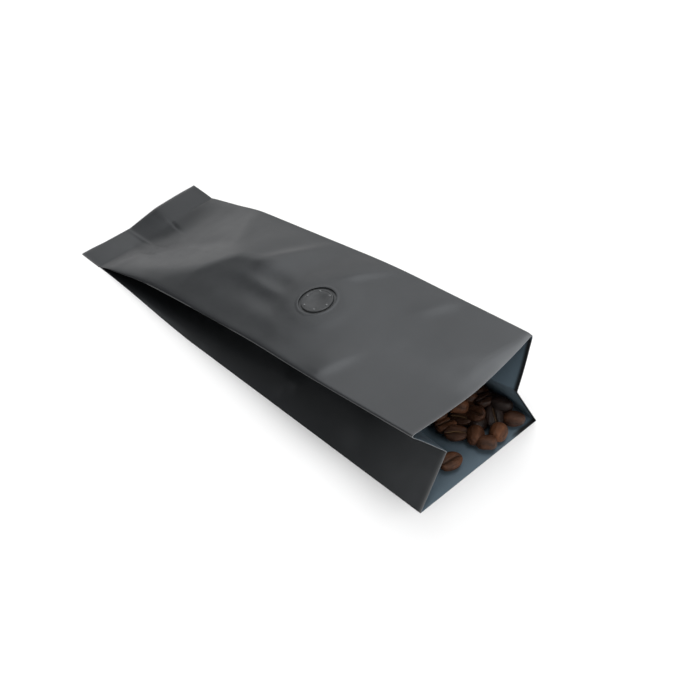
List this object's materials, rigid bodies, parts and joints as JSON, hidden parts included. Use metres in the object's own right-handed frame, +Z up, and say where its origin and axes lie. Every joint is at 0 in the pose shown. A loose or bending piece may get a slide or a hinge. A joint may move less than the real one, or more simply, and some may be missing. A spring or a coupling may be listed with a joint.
{
  "type": "coffee bag with valve",
  "caption": "Open side-gusset coffee bag in matte dark film, lying on its back with a round one-way degassing valve in its front panel and roasted beans in its mouth.",
  "frame": {"origin": "on the floor, in the middle of the bag's footprint", "axes": "+X along the bag towards its open mouth, +Y across it towards the higher side fold, +Z up out of the front panel with the valve"},
  "size_m": [0.257, 0.0804, 0.051],
  "materials": {
    "film": "matte laminate film",
    "valve": "satin moulded plastic",
    "bean": "roasted coffee bean"
  },
  "bodies": {
    "root": {"bag_film": "film", "valve": "valve", "bean_heap": "bean", "lone_bean": "bean"}
  },
  "joints": []
}
